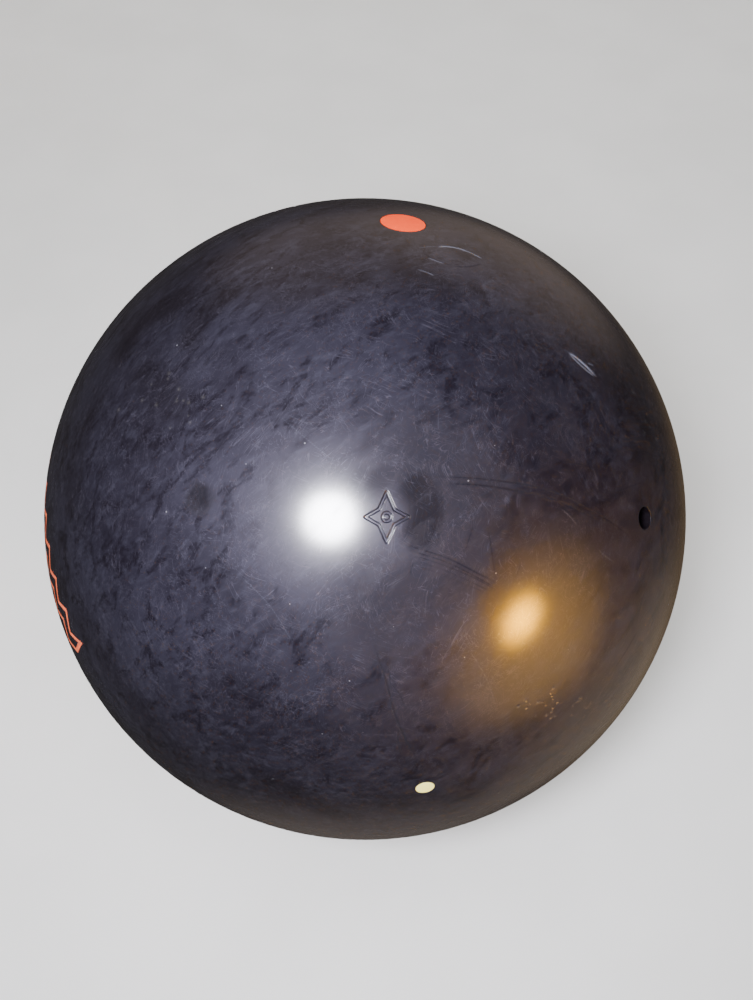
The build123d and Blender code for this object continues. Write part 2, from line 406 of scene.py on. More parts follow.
def inlay_ring(offset, radius):
    """The inlay's line moved sideways by offset, as a ring of points on a sphere. All rings have as many."""
    corners = INLAY_CORNERS
    ahead = unit(np.roll(corners, -1, 0) - corners)
    sides = np.stack([ahead[:, 1], -ahead[:, 0]], 1)
    before = np.roll(sides, 1, 0)
    mitre = (before + sides) / (1 + (before * sides).sum(1))[:, None]
    moved = corners - mitre * offset
    ring = []
    for i, (start, end) in enumerate(zip(corners, np.roll(corners, -1, 0))):
        count = int(np.linalg.norm(end - start) / RIM_SPACING)
        t = np.linspace(0, 1, count, endpoint=False)[:, None]
        ring.append(moved[i] * (1 - t) + moved[(i + 1) % len(corners)] * t)
    return on_plane(INLAY_AXES, np.vstack(ring), radius)


# ---------------------------------------------------------------- meshes


class Skin:
    """Points with their normals and values, and the triangles between them."""

    def __init__(self, values=()):
        self.points, self.normals, self.faces, self.count = [], [], [], 0
        self.values = {name: [] for name in values}

    def add(self, points, normals, **values):
        """Adds points, and returns their indices."""
        first = self.count
        self.points.append(points)
        self.normals.append(unit(normals))
        for name, rows in self.values.items():
            rows.append(np.broadcast_to(values.get(name, 0.0), len(points)))
        self.count += len(points)
        return np.arange(first, self.count)

    def band(self, a, b):
        """Joins two rings that have as many points."""
        after_a, after_b = np.roll(a, -1), np.roll(b, -1)
        self.faces += [np.stack([a, after_a, after_b], 1), np.stack([a, after_b, b], 1)]

    def bands(self, rings, closed=False):
        """Joins each ring to the next, and the last to the first if the bands are closed."""
        for a, b in zip(rings, rings[1:] + rings[:1] if closed else rings[1:]):
            self.band(a, b)

    def fan(self, ring, middle):
        """Joins a ring to the one point in its middle."""
        self.faces.append(np.stack([ring, np.roll(ring, -1), np.full(len(ring), middle[0])], 1))

    def object(self, name):
        """The mesh as an object, without points that no triangle uses, its triangles turned outwards."""
        points, normals = np.vstack(self.points), np.vstack(self.normals)
        used, faces = np.unique(np.vstack(self.faces), return_inverse=True)
        faces = faces.reshape(-1, 3)
        points, normals = points[used], normals[used]
        a, b, c = (points[faces[:, i]] for i in range(3))
        backward = (np.cross(b - a, c - a) * normals[faces].sum(1)).sum(1) < 0
        faces[backward] = faces[backward][:, ::-1]
        mesh = bpy.data.meshes.new(name)
        mesh.from_pydata(points * MM, [], faces.tolist())
        mesh.shade_smooth()
        mesh.normals_split_custom_set_from_vertices(normals)
        for value, rows in self.values.items():
            attribute = mesh.attributes.new(value, "FLOAT", "POINT")
            attribute.data.foreach_set("value", np.concatenate(rows)[used].astype(np.float32))
        return add_object(name, mesh)

    def piece(self, name, slot, material, replaces):
        """The mesh as a piece that stands for a CAD node."""
        piece = self.object(name)
        piece.data.materials.append(material)
        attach(piece, ROOT)
        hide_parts(replaces)
        return piece


def square_axes(axis):
    """Two directions square to an axis and to each other."""
    start = TOP if abs(axis @ TOP) < 0.9 else RIGHT
    u = unit(start - (start @ axis) * axis)
    return u, np.cross(axis, u)


def around(axis, count):
    """That many directions square to an axis, evenly turned round it."""
    u, w = square_axes(axis)
    angle = np.arange(count)[:, None] * 2 * pi / count
    return np.cos(angle) * u + np.sin(angle) * w


class Hole:
    """A round hole through the cover, whose rim is rounded. Its side is the way out from its axis."""

    def __init__(self, through, axis, radius, edge, foot=None):
        self.through, self.axis, self.radius, self.edge, self.foot = through, axis, radius, edge, foot
        self.count = int(2 * pi * radius / RIM_SPACING)
        self.side = around(axis, self.count)

    def ring(self, radius, sphere):
        """The points where a cylinder round the hole's axis leaves a sphere."""
        start = self.through + self.side * radius
        ahead = start @ self.axis
        length = np.sqrt(ahead**2 - (start**2).sum(1) + sphere**2) - ahead
        return start + length[:, None] * self.axis

    def mouth(self):
        """The widest ring of the rim, where it leaves the ball's surface."""
        return self.ring(self.radius + self.edge, BALL_RADIUS)


CENTRE = np.zeros(3)


def bore(name, radius, edge, **more):
    """The hole in the cover round a bore that the record lists."""
    mount = MOUNTS[name]
    return Hole(np.array(mount["pos_m"]) / MM, unit(np.array(mount["axis"])), radius, edge, **more)


PIN_EDGE = 0.14
GLUE_GAP = 0.02
thumb_hole = bore("thumb_hole", THUMB_SLUG_RADIUS, PIN_EDGE)
finger_holes = {
    "middle_finger_insert": bore("middle_finger_hole", FINGER_INSERT_RADIUS, PIN_EDGE),
    "ring_finger_insert": bore("ring_finger_hole", FINGER_INSERT_RADIUS, PIN_EDGE),
}
vent_hole = bore("vent_hole", MOUNTS["vent_hole"]["dims"]["r_mm"], 0.15)
locating_pin_hole = Hole(CENTRE, LOCATING_PIN_AXIS, LOCATING_PIN_RADIUS, PIN_EDGE)
mass_bias_pin_hole = Hole(CENTRE, MASS_BIAS_PIN_AXIS, MASS_BIAS_PIN_RADIUS, PIN_EDGE, MASS_BIAS_PIN_FOOT)
through_holes = [locating_pin_hole, *finger_holes.values(), vent_hole]


def icosahedron():
    """The corners of its 20 triangles."""
    golden = (1 + sqrt(5)) / 2
    signs = [(a, b) for a in (-1, 1) for b in (-golden, golden)]
    corners = [np.roll((0, a, b), shift) for shift in range(3) for a, b in signs]
    corners = np.array(corners, float)
    near = np.linalg.norm(corners[:, None] - corners[None], axis=2) < 2.1
    triangles = [
        (i, j, k)
        for i in range(12)
        for j in range(i + 1, 12)
        for k in range(j + 1, 12)
        if near[i, j] and near[j, k] and near[i, k]
    ]
    return unit(corners[np.array(triangles)])


def scattered(radius, spacing_at):
    """Points of a sphere's triangles, divided until their sides are as short as spacing_at asks for."""
    corners = icosahedron()
    kept = []
    while len(corners):
        middles = unit(corners.mean(1)) * radius
        side = lengths(corners[:, 0] - corners[:, 1]) * radius
        fine = side < 1.35 * spacing_at(middles)
        kept.append(corners[fine].reshape(-1, 3))
        a, b, c = np.moveaxis(corners[~fine], 1, 0)
        ab, bc, ca = unit(a + b), unit(b + c), unit(c + a)
        children = [(a, ab, ca), (ab, b, bc), (ca, bc, c), (ab, bc, ca)]
        corners = np.concatenate([np.stack(child, 1) for child in children])
    return np.unique(np.round(np.vstack(kept), 9), axis=0) * radius


def clear_of(points, rings, margin=0.6):
    """The points outside the first ring that are no nearer to any ring than about its own spacing."""
    pole = unit(rings[0].mean(0))
    points = points[points @ pole < (rings[0] @ pole).mean()]
    all_points = np.vstack(rings)
    spacing = np.concatenate([lengths(ring - np.roll(ring, -1, 0)) for ring in rings])
    tree = kdtree.KDTree(len(all_points))
    for i, point in enumerate(all_points):
        tree.insert(point, i)
    tree.balance()
    kept = []
    for point in points:
        _, i, distance = tree.find(point)
        kept.append(distance > margin * spacing[i])
    return points[np.array(kept)]


def anticlockwise(flat, polygon):
    """The corners of a flat polygon, in anticlockwise order."""
    here = flat[polygon]
    after = np.roll(here, -1, 0)
    area = (here[:, 0] * after[:, 1] - here[:, 1] * after[:, 0]).sum()
    return polygon if area > 0 else polygon[::-1]


def sheet(points, outer, loops):
    """The triangles between an outer ring and inner loops on a sphere, as indices into all of the points.
    The sphere is opened flat from the middle of the outer ring, which keeps the triangles' shapes."""
    pole = unit(outer.mean(0))
    u, w = square_axes(pole)
    rings = [outer, *loops]
    directions = unit(np.vstack([*rings, points]))
    away = 1 - directions @ pole
    flat = np.stack([directions @ u / away, directions @ w / away], 1)
    starts = np.cumsum([0] + [len(ring) for ring in rings])
    outer_edges = [(i, (i + 1) % len(outer)) for i in range(len(outer))]
    polygons = [anticlockwise(flat, list(range(start, end))) for start, end in zip(starts[1:], starts[2:])]
    result = delaunay_2d_cdt([Vector(p) for p in flat], outer_edges, polygons, 0, 1e-12, True)
    _, _, faces, sources, _, inside = result
    source = np.array([ids[0] if ids else -1 for ids in sources])
    kept = [face for face, loops_round in zip(faces, inside) if len(loops_round) % 2 == 0]
    return source[np.array(kept)]


# ---------------------------------------------------------------- the cover


def wanted_spacing(points):
    """How far apart the cover's points may be at each place."""
    wanted = np.full(len(points), COVER_SPACING)

    def refine(distance, spacing):
        """Asks for that spacing at distance 0 and less, and for more further away."""
        np.minimum(wanted, spacing + GROWTH * np.maximum(distance, 0), out=wanted)

    reach = COVER_SPACING / GROWTH
    near = near_mark(points, reach)
    from_mark = np.full(len(points), np.inf)
    from_mark[near] = mark_distance(points[near])
    refine(from_mark - MARK_STROKE / 2 - MARK_WALL, MARK_SPACING)
    for _, line, width, _, _ in wear_lines:
        refine(distance_to_line(points, line, reach)[0] - 2.2 * width, max(WEAR_SPACING, width * 0.9))
    for middle, radius in zip(PITS, PIT_RADII):
        refine(distance_to_line(points, middle[None], reach)[0] - radius, PIT_SPACING)
    for hole in [thumb_hole, mass_bias_pin_hole, *through_holes]:
        ahead = points @ hole.axis > 0
        from_rim = np.abs(lengths(np.cross(points - hole.through, hole.axis)) - hole.radius)
        refine(np.where(ahead, from_rim, np.inf), RIM_SPACING)
    refine(distance_to_line(points, inlay_line, reach)[0] - INLAY_STROKE, RIM_SPACING)
    return wanted


def near_mark(points, reach=0.0):
    """Which points are no further than reach from the mark's outer circle."""
    return lengths(points - MARK_AXES[2] * BALL_RADIUS) < MARK_EXTENT + reach


def end_fade(along, share):
    """From 0 at both ends of a line to 1 past that share of its length."""
    return smoothstep(along / share) * smoothstep((1 - along) / share)


def surface_depth(points):
    """How far the cover's surface lies below the ball's, at points on it."""
    depth = np.zeros(len(points))
    near = near_mark(points)
    from_wall = MARK_STROKE / 2 - mark_distance(points[near])
    depth[near] = MARK_DEPTH * smoothstep((from_wall + MARK_WALL) / (2 * MARK_WALL))
    for _, line, width, deep, _ in wear_lines:
        distance, along = distance_to_line(points, line, 3 * width)
        depth = np.maximum(depth, deep * np.exp(-((distance / width) ** 2)) * end_fade(along, 0.12))
    for middle, radius in zip(PITS, PIT_RADII):
        distance = distance_to_line(points, middle[None], 3 * radius)[0]
        depth = np.maximum(depth, PIT_DEPTH * np.exp(-((distance / radius) ** 2) * 1.5))
    return depth


def surface_normals(points, depth):
    """Normals of the cover's surface, from how its depth changes."""
    step = 0.01
    out = unit(points)
    u = unit(np.cross(out, np.where(np.abs(out @ LABEL)[:, None] < 0.9, LABEL, TOP)))
    w = np.cross(out, u)
    slope_u = (surface_depth(points + u * step) - depth) / step
    slope_w = (surface_depth(points + w * step) - depth) / step
    return out + slope_u[:, None] * u + slope_w[:, None] * w


def wear_values(points):
    """How much of each kind of wear, and of painted shade, there is at each point, from 0 to 1."""
    values = {name: np.zeros(len(points)) for name in ("dark", "light", "smudge", "dull", "pit")}
    for kind, line, width, _, strength in wear_lines:
        distance, along = distance_to_line(points, line, 3 * width)
        amount = strength * np.exp(-((distance / width) ** 2)) * end_fade(along, 0.2)
        values[kind] = np.maximum(values[kind], amount)
    for kind, line, width, strength, edge in smudges_and_shade:
        distance = distance_to_line(points, line, 2.5 * width)[0]
        soft = 1.6 - edge * 1.3
        amount = strength * smoothstep((width * (1 + soft / 2) - distance) / (width * soft))
        values[kind] = np.maximum(values[kind], amount)
    for middle, radius in zip(PITS, PIT_RADII):
        distance = distance_to_line(points, middle[None], 3 * radius)[0]
        values["pit"] = np.maximum(values["pit"], np.exp(-((distance / radius) ** 2)))
    return values


def leaning(points, towards, angle):
    """Normals at points of the ball that lean by an angle from straight out."""
    return unit(points) * cos(angle) + towards * sin(angle)


def rounded(skin, hole, radius, size, angles, way, rim):
    """The rings of an edge rounded by size, which bends away from a hole's axis (1) or into it (-1).
    Its rim value goes from the first to the second as it bends down."""
    rings = []
    for angle in angles:
        height = BALL_RADIUS - size * (1 - cos(angle))
        points = hole.ring(radius - way * size * (1 - sin(angle)), height)
        normals = leaning(points, way * hole.side, angle)
        rings.append(skin.add(points, normals, rim=rim[0] + (rim[1] - rim[0]) * sin(angle)))
    return rings


def outer_edge(skin, hole, radius, angles):
    """The sanded edge where a pin or sleeve of that radius meets the ball's surface."""
    return rounded(skin, hole, radius, PIN_EDGE, angles, 1, (0.6, 1.0))


def bevel(skin, hole, radius, size, step):
    """The rounded mouth of a bore of that radius, from the surface inwards."""
    return rounded(skin, hole, radius, size, np.radians(np.arange(0, 91, step)), -1, (0.0, 0.0))


def drill(skin, hole, mouth):
    """Adds a hole's rim and wall below its mouth. Returns its inmost ring, or None for a blind hole."""
    rings = [mouth, *rounded(skin, hole, hole.radius, hole.edge, RIM_ANGLES[1:], -1, (0.0, 1.0))]
    foot = FILLER_RADIUS if hole.foot is None else hole.foot
    for sphere in np.linspace(BALL_RADIUS - hole.edge, foot, WALL_STEPS)[1:]:
        rings.append(skin.add(hole.ring(hole.radius, sphere), -hole.side, rim=1.0))
    skin.bands(rings)
    if hole.foot is None:
        return rings[-1]
    skin.fan(rings[-1], skin.add((hole.axis * foot)[None], hole.axis[None]))
    return None


def groove_rings():
    """The inlay groove's section, from its outer rim to its inner one: offsets, depths and slopes."""
    half = INLAY_STROKE / 2
    rim = [(half + PIN_EDGE * (1 - sin(a)), PIN_EDGE * (1 - cos(a)), a) for a in RIM_ANGLES]
    outer = rim + [(half, INLAY_DEPTH, pi / 2)]
    return outer + [(-offset, depth, -angle) for offset, depth, angle in reversed(outer)]


def build_cover(material):
    """The shell: its worn outer sphere, the walls of its holes and grooves, and its inner sphere."""
    skin = Skin(("dark", "light", "smudge", "dull", "pit", "rim"))
    grooves = groove_rings()
    outer_groove = inlay_ring(grooves[0][0], BALL_RADIUS)
    inner_groove = inlay_ring(grooves[-1][0], BALL_RADIUS)
    into_groove = unit(inlay_ring(0, BALL_RADIUS) - outer_groove)

    thumb_mouth = thumb_hole.mouth()
    holes = [mass_bias_pin_hole, *through_holes]
    loops = [hole.mouth() for hole in holes] + [outer_groove, inner_groove]
    points = clear_of(scattered(BALL_RADIUS, wanted_spacing), [thumb_mouth, *loops])
    faces = sheet(points, thumb_mouth, loops)
    places = np.vstack([thumb_mouth, *loops, points])
    depth = surface_depth(places)
    normals = surface_normals(places, depth)
    index = skin.add(unit(places) * (BALL_RADIUS - depth)[:, None], normals, **wear_values(places))
    skin.faces.append(index[faces])

    starts = np.cumsum([0, len(thumb_mouth)] + [len(loop) for loop in loops])
    mouths = [index[a:b] for a, b in zip(starts, starts[1:])]
    feet = [drill(skin, hole, mouth) for hole, mouth in zip([thumb_hole, *holes], mouths)]

    rings = [mouths[-2]]
    for offset, below, angle in grooves[1:-1]:
        ring = inlay_ring(offset, BALL_RADIUS - below)
        rings.append(skin.add(ring, leaning(ring, into_groove, angle), rim=1.0))
    skin.bands(rings + [mouths[-1]])

    # The inner sphere, joined to the feet of the holes
    feet = [foot for foot in feet if foot is not None]
    rings = [np.vstack(skin.points)[foot] for foot in feet]
    inner = clear_of(scattered(FILLER_RADIUS, lambda p: np.full(len(p), INNER_SPACING)), rings, margin=4.0)
    inner_index = np.concatenate([*feet, skin.add(inner, -inner, rim=1.0)])
    skin.faces.append(inner_index[sheet(inner, rings[0], rings[1:])])
    skin.piece("coverstock_resin", "coverstock", material, "coverstock")


# The inlay's closed line, in steps long enough to measure distances from
inlay_line = inlay_ring(0, BALL_RADIUS)[::6]
inlay_line = np.vstack([inlay_line, inlay_line[:1]])


# ---------------------------------------------------------------- pins, paint and sleeves


def build_pin(name, node, hole, foot, slot, material):
    """A pin of cast resin, sanded flush with the ball, whose edge is a little rounded."""
    skin = Skin(("rim",))
    radius = hole.radius - GLUE_GAP
    middle = skin.add((hole.axis * BALL_RADIUS)[None], hole.axis[None])
    rings = []
    for share in np.linspace(0.1, 1, 10)[:-1]:
        points = hole.ring((radius - PIN_EDGE) * share, BALL_RADIUS)
        rings.append(skin.add(points, points, rim=share**6 * 0.5))
    rings += outer_edge(skin, hole, radius, RIM_ANGLES)
    for sphere in np.linspace(BALL_RADIUS - PIN_EDGE, foot, WALL_STEPS)[1:]:
        rings.append(skin.add(hole.ring(radius, sphere), hole.side, rim=1.0))
    skin.fan(rings[0], middle)
    skin.bands(rings)
    skin.fan(rings[-1], skin.add((hole.axis * foot)[None], -hole.axis[None]))
    skin.piece(name, slot, material, node)


def build_inlay(material):
    """Paint that fills the groove to the brim and is rounded off along its edges."""
    skin = Skin(("rim",))
    half = INLAY_STROKE / 2 - GLUE_GAP
    # Across the half width, below the ball's surface in millimetres, and the surface's lean in degrees
    section = [(1.0, INLAY_DEPTH - 0.01, 90), (1.0, 0.10, 60), (0.92, 0.03, 25), (0.6, 0.012, 4)]
    section.append((0.0, 0.008, 0))
    section += [(-across, below, -lean) for across, below, lean in reversed(section[:-1])]
    into_groove = unit(inlay_ring(0, BALL_RADIUS) - inlay_ring(half, BALL_RADIUS))
    rings = []
    for across, below, lean in section:
        ring = inlay_ring(half * across, BALL_RADIUS - below)
        normals = leaning(ring, -into_groove, radians(lean))
        rings.append(skin.add(ring, normals, rim=abs(across) ** 3))
    skin.bands(rings, closed=True)
    skin.piece("inlay_paint", "orange_paint", material, "zigzag_inlay")


def build_finger_insert(node, hole, material):
    """An open sleeve, sanded flush with the ball, with a rounded mouth."""
    skin = Skin(("rim",))
    outer = hole.radius - GLUE_GAP
    inner = MOUNTS["middle_finger_hole"]["dims"]["r_mm"]
    mouth = hole.through - hole.axis * (hole.through @ hole.axis)
    height = sqrt(BALL_RADIUS**2 - mouth @ mouth)
    foot = mouth + hole.axis * (height - FINGER_INSERT_LENGTH)
    rings = [skin.add(foot + hole.side * outer, hole.side, rim=1.0)]
    rings += outer_edge(skin, hole, outer, RIM_ANGLES[::-1])
    rings += bevel(skin, hole, inner, FINGER_BEVEL, 11.25)
    top = np.vstack(skin.points)[rings[-1]]
    for share in np.linspace(0, 1, WALL_STEPS)[1:]:
        rings.append(skin.add(top * (1 - share) + (foot + hole.side * inner) * share, -hole.side))
    skin.bands(rings, closed=True)
    skin.piece(node.replace("_insert", "_grip"), "finger_vinyl", material, node)


def build_thumb_slug(material):
    """A sleeve with a closed foot and a rounded mouth, into which the vent opens."""
    skin = Skin(("rim",))
    hole = thumb_hole
    side = hole.side

    def ring(radius, height, normals, rim=0.0):
        return skin.add(side * radius + hole.axis * height, normals, rim=rim)

    rings = []
    for height in np.linspace(THUMB_SLUG_FOOT, BALL_RADIUS - PIN_EDGE - 2.0, WALL_STEPS):
        rings.append(ring(hole.radius - GLUE_GAP, height, side, rim=1.0))
    rings += outer_edge(skin, hole, hole.radius - GLUE_GAP, RIM_ANGLES[::-1])
    rings += bevel(skin, hole, THUMB_BORE_RADIUS, THUMB_BEVEL, 9.0)
    top = sqrt((BALL_RADIUS - THUMB_BEVEL) ** 2 - THUMB_BORE_RADIUS**2)
    for height in np.linspace(top, THUMB_BORE_FLOOR + THUMB_FLOOR_ROUND, 4 * WALL_STEPS)[1:]:
        rings.append(ring(THUMB_BORE_RADIUS, height, -side))
    for bend in np.radians(np.arange(15, 91, 15)):
        radius = THUMB_BORE_RADIUS - THUMB_FLOOR_ROUND * (1 - cos(bend))
        height = THUMB_BORE_FLOOR + THUMB_FLOOR_ROUND * (1 - sin(bend))
        rings.append(ring(radius, height, hole.axis * sin(bend) - side * cos(bend)))
    for share in (0.8, 0.6, 0.4, 0.2):
        rings.append(ring(THUMB_BORE_RADIUS * share, THUMB_BORE_FLOOR, np.tile(hole.axis, (hole.count, 1))))
    skin.bands(rings)
    skin.fan(rings[-1], skin.add((hole.axis * THUMB_BORE_FLOOR)[None], hole.axis[None]))
    skin.fan(rings[0], skin.add((hole.axis * THUMB_SLUG_FOOT)[None], -hole.axis[None], rim=1.0))
    cut_vent(skin.piece("thumb_sleeve", "thumb_urethane", material, "thumb_slug"))


def cut_vent(piece):
    """Cuts the vent hole through one side of the sleeve."""
    end = np.array(MOUNTS["vent_hole"]["pos_m"]) / MM
    axis = vent_hole.axis
    reach = -(end @ axis) + sqrt((end @ axis) ** 2 - end @ end + BALL_RADIUS**2)
    on_thumb_axis = THUMB_AXIS * (THUMB_BORE_FLOOR + VENT_ABOVE_FLOOR)
    outside = end + axis * reach
    length = np.linalg.norm(outside - on_thumb_axis)
    circle = around(axis, VENT_SIDES) * vent_hole.radius
    cutter = Skin()
    low = cutter.add(on_thumb_axis + circle, circle)
    high = cutter.add(on_thumb_axis + circle + axis * length, circle)
    cutter.band(low, high)
    cutter.fan(low, cutter.add(on_thumb_axis[None], -axis[None]))
    cutter.fan(high, cutter.add((on_thumb_axis + axis * length)[None], axis[None]))
    tool = cutter.object("vent_cutter")
    boolean = piece.modifiers.new("vent", "BOOLEAN")
    boolean.operation = "DIFFERENCE"
    boolean.solver = "EXACT"
    boolean.object = tool
    bpy.context.view_layer.update()
    cut = bpy.data.meshes.new_from_object(piece.evaluated_get(bpy.context.evaluated_depsgraph_get()))
    piece.modifiers.clear()
    piece.data = cut
    bpy.data.objects.remove(tool)
    cut.shade_smooth()
    cut.set_sharp_from_angle(angle=radians(40))


# ---------------------------------------------------------------- materials


class Nodes:
    """A node tree, with short names for the nodes it is made of. A colour is (red, green, blue)."""

    def __init__(self, tree):
        self.tree = tree

    def put(self, value, socket):
        """Gives an input a value, or another node's output."""
        if isinstance(value, bpy.types.NodeSocket):
            self.tree.links.new(value, socket)
        else:
            socket.default_value = value

    def node(self, kind, inputs, **settings):
        node = self.tree.nodes.new(kind)
        for name, value in settings.items():
            setattr(node, name, value)
        for name, value in inputs.items():
            self.put(value, node.inputs[name])
        return node

    def math(self, operation, a, b=0.0):
        return self.node("ShaderNodeMath", {0: a, 1: b}, operation=operation).outputs[0]

    def times(self, a, b):
        return self.math("MULTIPLY", a, b)

    def largest(self, *values):
        result = values[0]
        for value in values[1:]:
            result = self.math("MAXIMUM", result, value)
        return result

    def scaled(self, value, low, high, to_low=0.0, to_high=1.0, smooth=True):
        """The value moved from one range to another, and kept inside it."""
        inputs = {"Value": value, "From Min": low, "From Max": high, "To Min": to_low, "To Max": to_high}
        kind = "SMOOTHSTEP" if smooth else "LINEAR"
        return self.node("ShaderNodeMapRange", inputs, interpolation_type=kind).outputs["Result"]

    def mix(self, share, a, b, blend="MIX"):
        """Two colours mixed, or the second added to the first."""
        node = self.node("ShaderNodeMix", {"Factor": share}, data_type="RGBA", blend_type=blend)
        for socket, colour in ((node.inputs[6], a), (node.inputs[7], b)):
            self.put((*colour, 1.0) if isinstance(colour, tuple) else colour, socket)
        return node.outputs[2]

    def vector_math(self, operation, a, b):
        """Vector arithmetic. SCALE takes a number as b, and DOT_PRODUCT gives one."""
        second = "Scale" if operation == "SCALE" else 1
        node = self.node("ShaderNodeVectorMath", {0: a, second: b}, operation=operation)
        return node.outputs["Value" if operation == "DOT_PRODUCT" else "Vector"]


class Material(Nodes):
    """A node material with one Principled shader, whose patterns are sized in millimetres."""

    def __init__(self, name, **settings):
        self.material = bpy.data.materials.new(name)
        self.material.use_nodes = True
        super().__init__(self.material.node_tree)
        self.shader = self.tree.nodes["Principled BSDF"]
        for socket, value in settings.items():
            self.shader.inputs[socket.replace("_", " ")].default_value = value
        self.position = self.node("ShaderNodeTexCoord", {}).outputs["Object"]

    def finished(self, colour, roughness, height, bump):
        """The material, with its colour, its roughness and a height that bumps it by bump millimetres."""
        normal = self.node("ShaderNodeBump", {"Height": height, "Distance": bump * MM}).outputs["Normal"]
        for socket, value in (("Base Color", colour), ("Roughness", roughness), ("Normal", normal)):
            self.put(value, self.shader.inputs[socket])
        return self.material

    def attribute(self, name):
        return self.node("ShaderNodeAttribute", {}, attribute_name=name).outputs["Fac"]

    def noise(self, size, detail=4.0, roughness=0.55, distortion=0.0, vector=None, output="Fac"):
        """Noise whose patches are about size across."""
        inputs = {
            "Vector": vector or self.position,
            "Scale": 1 / (size * MM),
            "Detail": detail,
            "Roughness": roughness,
            "Distortion": distortion,
        }
        return self.node("ShaderNodeTexNoise", inputs).outputs[output]

    def cells(self, size):
        """A pattern of cells about size apart, whose middles are scattered."""
        inputs = {"Vector": self.position, "Scale": 1 / (size * MM)}
        return self.node("ShaderNodeTexVoronoi", inputs).outputs

    def drawn_out(self, vector, slope, ratio):
        """The position squeezed along a slope across the label's plane, to draw patterns out along it."""
        along = RIGHT * cos(radians(slope)) + TOP * sin(radians(slope))
        part = self.vector_math("SCALE", along, self.vector_math("DOT_PRODUCT", vector, along))
        return self.vector_math("SUBTRACT", vector, self.vector_math("SCALE", part, 1 - ratio))

    def hairlines(self, slope, length, width, shift):
        """Thin bent and broken lines about length long, which rise at a slope across the label's plane."""
        moved = self.vector_math("ADD", self.position, (shift, shift * 0.7, -shift))
        sway = self.noise(length, 1.0, 0.5, 0.0, moved, "Color")
        sway = self.vector_math("SUBTRACT", sway, (0.5, 0.5, 0.5))
        sway = self.vector_math("SCALE", sway, length * 0.5 * MM)
        along = self.drawn_out(self.vector_math("ADD", moved, sway), slope, width / length)
        field = self.noise(width * 14, 2.0, 0.5, 0.2, along)
        ridge = self.math("ABSOLUTE", self.math("SUBTRACT", field, 0.5))
        line = self.scaled(ridge, 0.0, 0.011, 1.0, 0.0)
        gaps = self.scaled(self.noise(length * 0.5, 3.0, 0.6, 0.0, moved), 0.47, 0.62)
        return self.times(line, gaps)


def cover_material():
    """Dark sanded resin: cloudy, rubbed and scratched, with dust in its pits."""
    made = Material(
        "cover_resin", IOR=1.5, Specular_IOR_Level=0.36, Coat_Weight=0.80, Coat_Roughness=0.17, Coat_IOR=1.8
    )
    made.shader.inputs["Specular Tint"].default_value = (0.84, 0.80, 1.0, 1.0)
    clouds = made.noise(46, 7.0, 0.62, 0.4)
    rubbed = made.noise(4.8, 8.0, 0.76, 0.5, made.drawn_out(made.position, 48, 0.42))
    rubbed = made.scaled(rubbed, 0.48, 0.62)
    grain = made.noise(1.9, 4.0, 0.65, 0.3, made.drawn_out(made.position, 35, 0.35))
    colour = made.mix(made.scaled(clouds, 0.36, 0.64), (0.0050, 0.0041, 0.0079), (0.0106, 0.0098, 0.0168))
    colour = made.mix(made.times(rubbed, 0.85), colour, (0.0038, 0.0028, 0.0052))
    colour = made.mix(made.scaled(grain, 0.45, 0.8, 0.0, 0.35), colour, (0.034, 0.034, 0.050))

    # Smudges darken the colour, and so does the broad band of painted shade on the right and lower side
    smudge = made.attribute("smudge")
    dull = made.attribute("dull")
    colour = made.mix(smudge, colour, (0.0036, 0.0026, 0.0046))
    colour = made.mix(dull, colour, (0.0022, 0.0016, 0.0028))

    # Hairline scratches in six directions, the longest first
    slopes = enumerate((38, 62, 118, 152, -20, 84))
    layers = [made.hairlines(slope, 24 - 3 * i, 0.10, 0.013 * (i + 1)) for i, slope in slopes]
    lines = made.largest(*layers)
    colour = made.mix(made.times(lines, 0.4), colour, (0.05, 0.046, 0.064))

    # Specks of dust, each of its own size
    specks = made.cells(3.4)
    lot = made.node("ShaderNodeSeparateColor", {"Color": specks["Color"]}).outputs[0]
    speck_size = made.scaled(lot, 0.75, 1.0, 0.0, 0.085, smooth=False)
    speck = made.scaled(made.math("SUBTRACT", speck_size, specks["Distance"]), 0.0, 0.02)
    colour = made.mix(made.times(speck, 0.5), colour, (0.20, 0.20, 0.22))

    # The lines of wear, the pits, and dirt with painted shade darkening the rims and walls of holes and
    # grooves
    broken = made.scaled(made.noise(1.4, 3.0, 0.6), 0.25, 0.5, 0.55, 1.0)
    dark = made.times(made.attribute("dark"), broken)
    colour = made.mix(dark, colour, (0.0018, 0.0010, 0.0022))
    colour = made.mix(made.times(made.attribute("light"), 0.8), colour, (0.14, 0.15, 0.20))
    colour = made.mix(made.times(made.attribute("pit"), 0.16), colour, (0.12, 0.114, 0.108))
    # Dirt and painted shade darken the rims and walls of holes and grooves
    colour = made.mix(made.times(made.attribute("rim"), 0.8), colour, (0.004, 0.002, 0.0025))

    roughness = made.scaled(clouds, 0.3, 0.7, 0.47, 0.57)
    roughness = made.math("SUBTRACT", roughness, made.times(rubbed, 0.19))
    roughness = made.math("ADD", roughness, made.times(made.largest(dark, dull), 0.45))
    unpolished = made.largest(dull, made.times(smudge, 0.5), made.times(rubbed, 0.45), made.times(dark, 1.4))
    polish = made.scaled(unpolished, 0.0, 1.4, 0.80, 0.08, smooth=False)
    made.put(polish, made.shader.inputs["Coat Weight"])
    return made.finished(colour, roughness, made.math("SUBTRACT", made.times(grain, 0.9), lines), 0.011)


